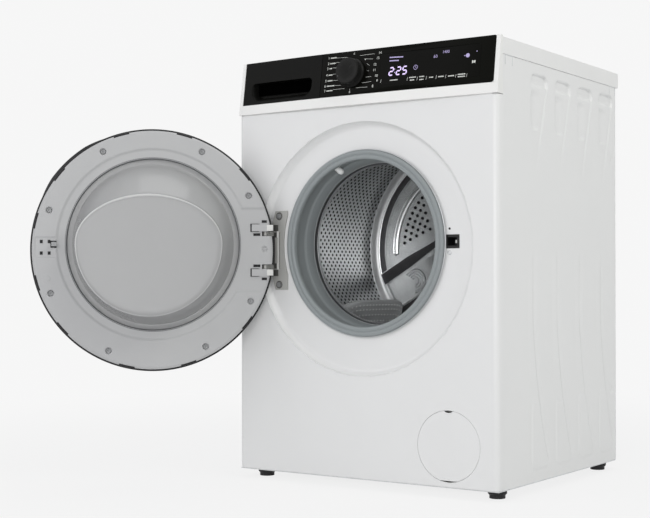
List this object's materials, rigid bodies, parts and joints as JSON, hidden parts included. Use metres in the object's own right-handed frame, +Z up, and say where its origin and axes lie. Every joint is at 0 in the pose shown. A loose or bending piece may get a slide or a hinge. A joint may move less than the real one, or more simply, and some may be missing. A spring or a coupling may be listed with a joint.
{
  "type": "front load washing machine",
  "caption": "White front load washing machine: steel cabinet, black control fascia with drawer and knob, round glass door on a side hinge, and a sprung tub with a belt-driven drum.",
  "frame": {"origin": "on the floor, midway between the centres of the four feet", "axes": "+Z up, -Y out of the front, +X to the right as seen from the front"},
  "size_m": [0.8668, 0.8891, 0.853],
  "materials": {
    "white_enamel": "satin",
    "worktop_laminate": "satin",
    "white_plastic": "satin",
    "black_gloss": "polished",
    "smoked_window": "polished",
    "circuit_board": "satin",
    "grey_plastic": "satin",
    "dark_plastic": "satin",
    "zinc_steel": "satin",
    "stainless": "polished",
    "rubber_grey": "matte",
    "rubber_black": "matte",
    "door_glass": "polished",
    "tub_plastic": "matte",
    "concrete": "matte",
    "cast_aluminium": "matte",
    "motor_steel": "satin"
  },
  "bodies": {
    "cabinet": {"side_panel_left": "white_enamel", "side_panel_right": "white_enamel", "rear_panel": "zinc_steel", "access_cover": "zinc_steel", "base_frame": "zinc_steel", "cross_braces": "zinc_steel", "worktop": "worktop_laminate", "front_panel": "white_enamel", "control_panel": "white_plastic", "fascia": "black_gloss", "display_window": "smoked_window", "display_board": "circuit_board", "control_box": "grey_plastic", "drawer_housing": "grey_plastic", "inlet_valve": "white_plastic", "fill_hose": "rubber_black", "dispenser_hose": "rubber_black", "door_lock": "dark_plastic", "hinge_plate": "zinc_steel", "hinge_pins": "stainless", "gasket": "rubber_grey", "gasket_clamp": "stainless", "spray_nozzle": "white_plastic", "suspension_springs": "stainless", "damper_cylinders": "dark_plastic", "drain_pump": "grey_plastic", "pump_bezel": "white_plastic", "sump_hose": "rubber_black", "drain_hose": "rubber_grey", "cord_gland": "rubber_black", "feet": "rubber_black", "transit_plugs": "white_plastic", "cabinet_screws": "stainless"},
    "tub": {"tub_front": "tub_plastic", "tub_rear": "tub_plastic", "tub_bolts": "zinc_steel", "counterweight_front": "concrete", "counterweight_top": "concrete", "motor": "motor_steel", "heater": "stainless", "bearings": "stainless", "damper_rods": "zinc_steel", "drive_belt": "rubber_black"},
    "drum": {"drum_shell": "stainless", "drum_back": "stainless", "lifters": "grey_plastic", "drum_spider": "cast_aluminium", "drum_pulley": "cast_aluminium"},
    "motor_rotor": {"motor_pulley": "zinc_steel"},
    "door": {"door_outer_frame": "black_gloss", "door_window": "smoked_window", "door_inner_frame": "grey_plastic", "door_glass": "door_glass", "door_screws": "stainless", "hinge_arms": "stainless"},
    "hook": {"latch_hook": "stainless"},
    "knob": {"program_knob": "black_gloss"},
    "drawer_body": {"drawer": "grey_plastic"},
    "filter": {"filter_cap": "dark_plastic"},
    "flap": {"pump_flap": "white_enamel"}
  },
  "joints": [
    {"name": "tub_bounce", "type": "slide", "parent": "cabinet", "child": "tub", "axis": [0, 0, 1], "range_m": [-0.008, 0.008], "stiffness_N_per_m": 14000, "springref_m": 0.03112, "deforming": ["suspension_springs", "gasket", "dispenser_hose", "sump_hose"]},
    {"name": "drum_spin", "type": "hinge", "parent": "tub", "child": "drum", "pos_m": [0, -0.0345, 0.477], "axis": [0, 1, 0], "continuous": true},
    {"name": "motor_spin", "type": "hinge", "parent": "tub", "child": "motor_rotor", "pos_m": [-0.06, 0.1455, 0.151], "axis": [0, 1, 0], "continuous": true},
    {"name": "door_hinge", "type": "hinge", "parent": "cabinet", "child": "door", "pos_m": [-0.224, -0.2945, 0.466], "axis": [0, 0, -1], "range_deg": [-138, 6]},
    {"name": "hook_pivot", "type": "hinge", "parent": "door", "child": "hook", "pos_m": [-0.53553, -0.57769, 0.477], "axis": [0, 0, -1], "range_deg": [0, 10], "stiffness_Nm_per_rad": 0.05},
    {"name": "knob_turn", "type": "hinge", "parent": "cabinet", "child": "knob", "pos_m": [-0.018, -0.28513, 0.808], "axis": [0, -0.9892, 0.1465], "continuous": true},
    {"name": "drawer_slide", "type": "slide", "parent": "cabinet", "child": "drawer_body", "axis": [0, -1, 0], "range_m": [0, 0.185]},
    {"name": "flap_hinge", "type": "hinge", "parent": "cabinet", "child": "flap", "pos_m": [0.195, -0.28325, 0.029], "axis": [1, 0, 0], "range_deg": [0, 88]},
    {"name": "filter_turn", "type": "hinge", "parent": "cabinet", "child": "filter", "pos_m": [0.195, -0.2545, 0.096], "axis": [0, 1, 0], "range_deg": [0, 270]}
  ],
  "couplings": [
    {"joint": "motor_spin", "follows": "drum_spin", "ratio": 14}
  ]
}
